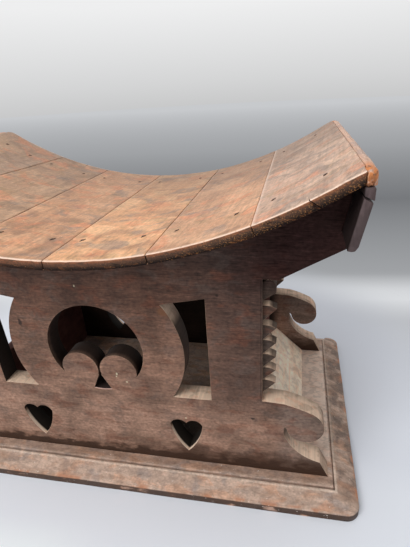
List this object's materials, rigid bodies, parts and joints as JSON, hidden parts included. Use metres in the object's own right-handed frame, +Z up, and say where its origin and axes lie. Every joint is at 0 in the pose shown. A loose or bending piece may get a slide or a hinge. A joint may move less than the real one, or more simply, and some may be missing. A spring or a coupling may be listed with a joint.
{
  "type": "stool",
  "caption": "Low wooden stool with a dished slatted seat on pierced side panels, sawn with scrolls, hearts and teeth, over a bevelled base board.",
  "frame": {"origin": "on the floor, under the middle of the base board", "axes": "+X along the seat to the right end, +Y to the rear, +Z up"},
  "size_m": [0.526, 0.317, 0.3409],
  "materials": {
    "seat_wood": "worn, lightly stained, satin",
    "panel_wood": "dark, dry, satin",
    "base_wood": "weathered, matte",
    "inner_wood": "dry, matte",
    "end_wood": "dark, matte",
    "worn_end_wood": "worn to bare wood",
    "nail_iron": "dull, rusted"
  },
  "bodies": {
    "root": {"base_board": "base_wood", "side_panel_front": "panel_wood", "side_panel_rear": "panel_wood", "riser_left": "inner_wood", "riser_right": "inner_wood", "ramp_left": "inner_wood", "ramp_right": "inner_wood", "end_strip_left": "worn_end_wood", "end_strip_right": "worn_end_wood", "end_batten_left": "end_wood", "end_batten_right": "end_wood", "end_apron_left": "end_wood", "end_apron_right": "end_wood", "seat_slat_1": "seat_wood", "seat_slat_2": "seat_wood", "seat_slat_3": "seat_wood", "seat_slat_4": "seat_wood", "seat_slat_5": "seat_wood", "seat_slat_6": "seat_wood", "seat_nails_front": "nail_iron", "seat_nails_rear": "nail_iron", "end_nails_left": "nail_iron", "end_nails_right": "nail_iron", "base_nails": "nail_iron", "ramp_nails": "nail_iron"}
  },
  "joints": []
}
